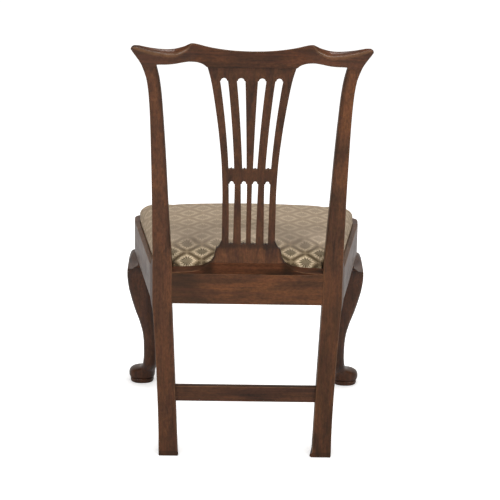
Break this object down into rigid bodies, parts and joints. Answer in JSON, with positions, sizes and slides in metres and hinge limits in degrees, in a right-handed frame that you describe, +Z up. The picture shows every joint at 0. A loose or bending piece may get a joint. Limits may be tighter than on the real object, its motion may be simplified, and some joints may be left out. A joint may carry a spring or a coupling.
{
  "type": "side chair",
  "caption": "Wooden side chair with a pierced splat, eared crest rail, lift-out upholstered seat, cabriole front legs on pad feet and square raked rear legs.",
  "frame": {"origin": "on the floor, midway between the sides and midway between the front of the pad feet and the back of the crest rail", "axes": "+Z up, the front of the chair faces -Y, +X is the sitter's left"},
  "size_m": [0.5738, 0.5613, 0.9672],
  "materials": {
    "mahogany": "waxed, semi-gloss",
    "pine": "sawn, unfinished",
    "beech": "planed, unfinished",
    "jute": "twill webbing",
    "hessian": "plain weave",
    "horsehair": "curled hair",
    "woven_cover": "diamond-pattern weave",
    "blued_steel": "blued"
  },
  "bodies": {
    "chair_frame": {"rear_post_left": "mahogany", "rear_post_right": "mahogany", "crest_rail": "mahogany", "splat": "mahogany", "shoe": "mahogany", "rear_seat_rail": "mahogany", "front_seat_rail": "mahogany", "side_seat_rail_left": "mahogany", "side_seat_rail_right": "mahogany", "rear_stretcher": "mahogany", "front_leg_left": "mahogany", "front_leg_right": "mahogany", "knee_bracket_side_left": "mahogany", "knee_bracket_side_right": "mahogany", "knee_bracket_front_left": "mahogany", "knee_bracket_front_right": "mahogany", "corner_block_rear_left": "pine", "corner_block_rear_right": "pine", "corner_block_front_left": "pine", "corner_block_front_right": "pine"},
    "slip_seat": {"seat_frame_front": "beech", "seat_frame_rear": "beech", "seat_frame_left": "beech", "seat_frame_right": "beech", "webbing_front_to_back": "jute", "webbing_side_to_side": "jute", "hessian": "hessian", "stuffing": "horsehair", "seat_cover": "woven_cover", "webbing_tacks": "blued_steel", "cover_tacks": "blued_steel"}
  },
  "joints": [
    {"name": "seat_lift", "type": "slide", "parent": "chair_frame", "child": "slip_seat", "axis": [0, 0, 1], "range_m": [0, 0.08]}
  ]
}
